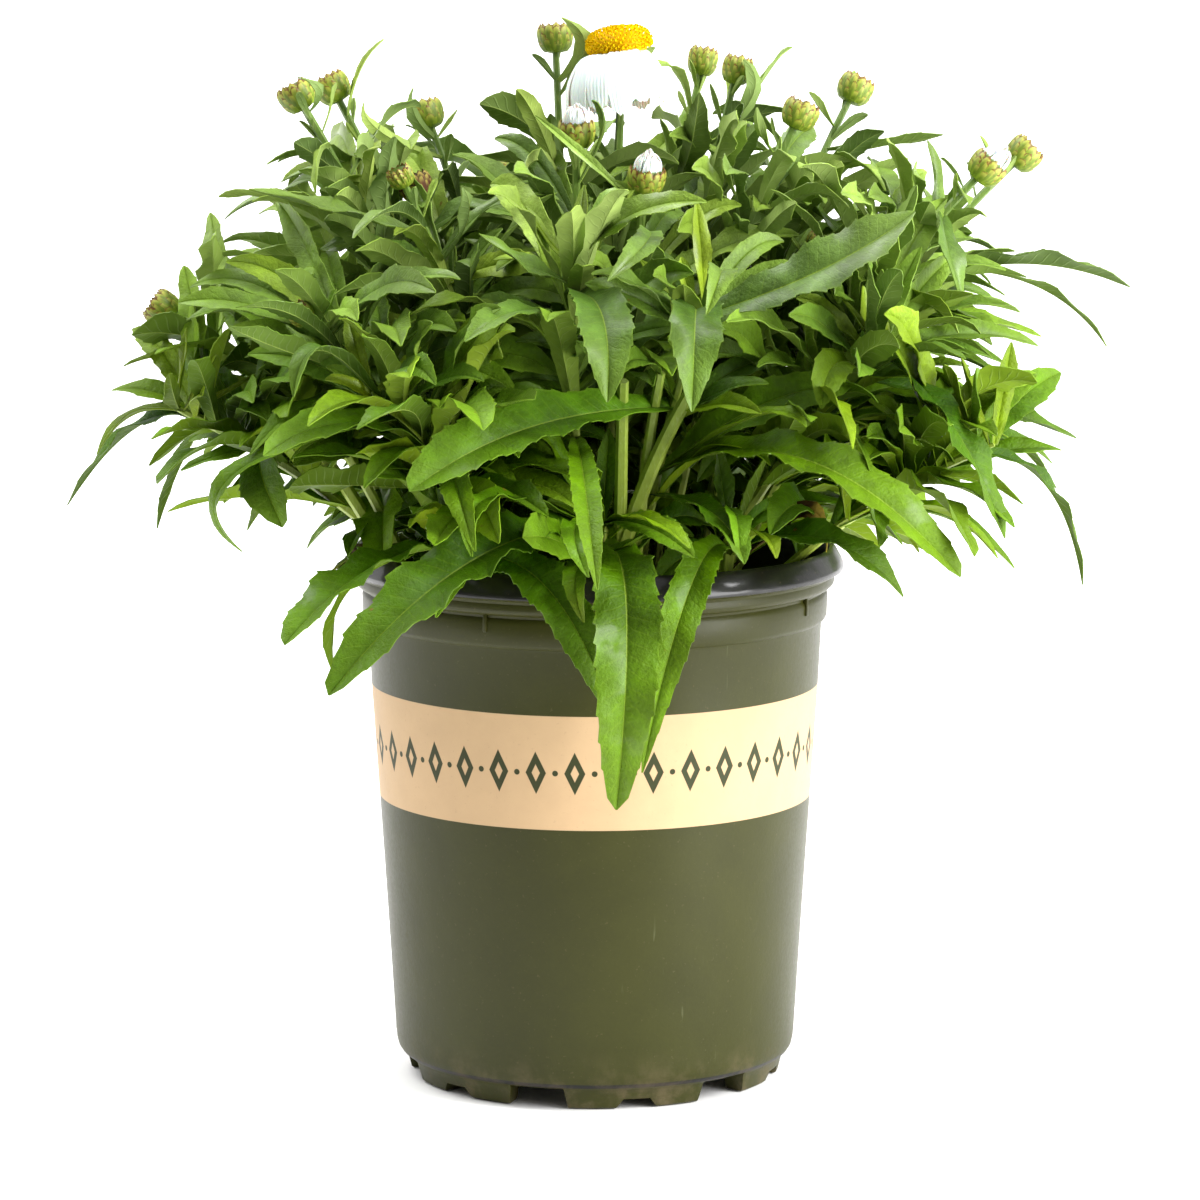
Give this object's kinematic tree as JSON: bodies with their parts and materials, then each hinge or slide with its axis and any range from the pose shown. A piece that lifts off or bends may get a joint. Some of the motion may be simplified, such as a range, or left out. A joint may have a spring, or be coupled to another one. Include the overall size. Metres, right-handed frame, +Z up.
{
  "type": "potted daisy plant",
  "caption": "Bushy daisy plant with toothed leaves, buds and a white flower, growing in potting mix in a round nursery pot with a sloped lip and footed base.",
  "frame": {"origin": "middle of the pot's base, on the surface it stands on", "axes": "+Z up, +X to the right seen from the front, -Y towards the front"},
  "size_m": [0.35, 0.3198, 0.3472],
  "materials": {
    "pot_plastic": "satin moulded olive-green outside and black lip, lightly scuffed",
    "potting_mix": "dark, damp and fibrous bark and peat",
    "leaf_and_stem": "thick, smooth and slightly glossy leaf with toothed edges",
    "bud_scale": "matt overlapping scales with brown edges",
    "white_ray": "matt white petal",
    "yellow_disc": "matt, densely beaded",
    "withered_head": "dry, brown and crumpled"
  },
  "bodies": {
    "root": {"basal_leaves_01": "leaf_and_stem", "basal_leaves_02": "leaf_and_stem", "basal_leaves_03": "leaf_and_stem", "bloom_disc": "yellow_disc", "bloom_rays": "white_ray", "bloom_stem": "leaf_and_stem", "bud_01": "bud_scale", "bud_02": "bud_scale", "bud_03": "bud_scale", "bud_04": "bud_scale", "bud_05": "bud_scale", "bud_06": "bud_scale", "bud_07": "bud_scale", "bud_08": "bud_scale", "bud_09": "bud_scale", "bud_10": "bud_scale", "bud_11": "bud_scale", "bud_12": "bud_scale", "bud_13": "bud_scale", "bud_14": "bud_scale", "bud_17": "bud_scale", "bud_20": "bud_scale", "bud_21": "bud_scale", "bud_24": "bud_scale", "bud_27": "bud_scale", "bud_rays_02": "white_ray", "bud_rays_03": "white_ray", "bud_rays_08": "white_ray", "leafy_stem_01": "leaf_and_stem", "leafy_stem_02": "leaf_and_stem", "leafy_stem_03": "leaf_and_stem", "leafy_stem_04": "leaf_and_stem", "leafy_stem_05": "leaf_and_stem", "leafy_stem_06": "leaf_and_stem", "leafy_stem_07": "leaf_and_stem", "leafy_stem_08": "leaf_and_stem", "leafy_stem_09": "leaf_and_stem", "leafy_stem_10": "leaf_and_stem", "leafy_stem_11": "leaf_and_stem", "leafy_stem_12": "leaf_and_stem", "leafy_stem_13": "leaf_and_stem", "leafy_stem_14": "leaf_and_stem", "leafy_stem_15": "leaf_and_stem", "leafy_stem_16": "leaf_and_stem", "leafy_stem_17": "leaf_and_stem", "leafy_stem_18": "leaf_and_stem", "leafy_stem_19": "leaf_and_stem", "leafy_stem_20": "leaf_and_stem", "leafy_stem_21": "leaf_and_stem", "leafy_stem_22": "leaf_and_stem", "leafy_stem_23": "leaf_and_stem", "leafy_stem_24": "leaf_and_stem", "leafy_stem_25": "leaf_and_stem", "leafy_stem_26": "leaf_and_stem", "leafy_stem_27": "leaf_and_stem", "leafy_stem_28": "leaf_and_stem", "leafy_stem_29": "leaf_and_stem", "pot": "pot_plastic", "potting_mix": "potting_mix", "withered_head": "withered_head"}
  },
  "joints": []
}
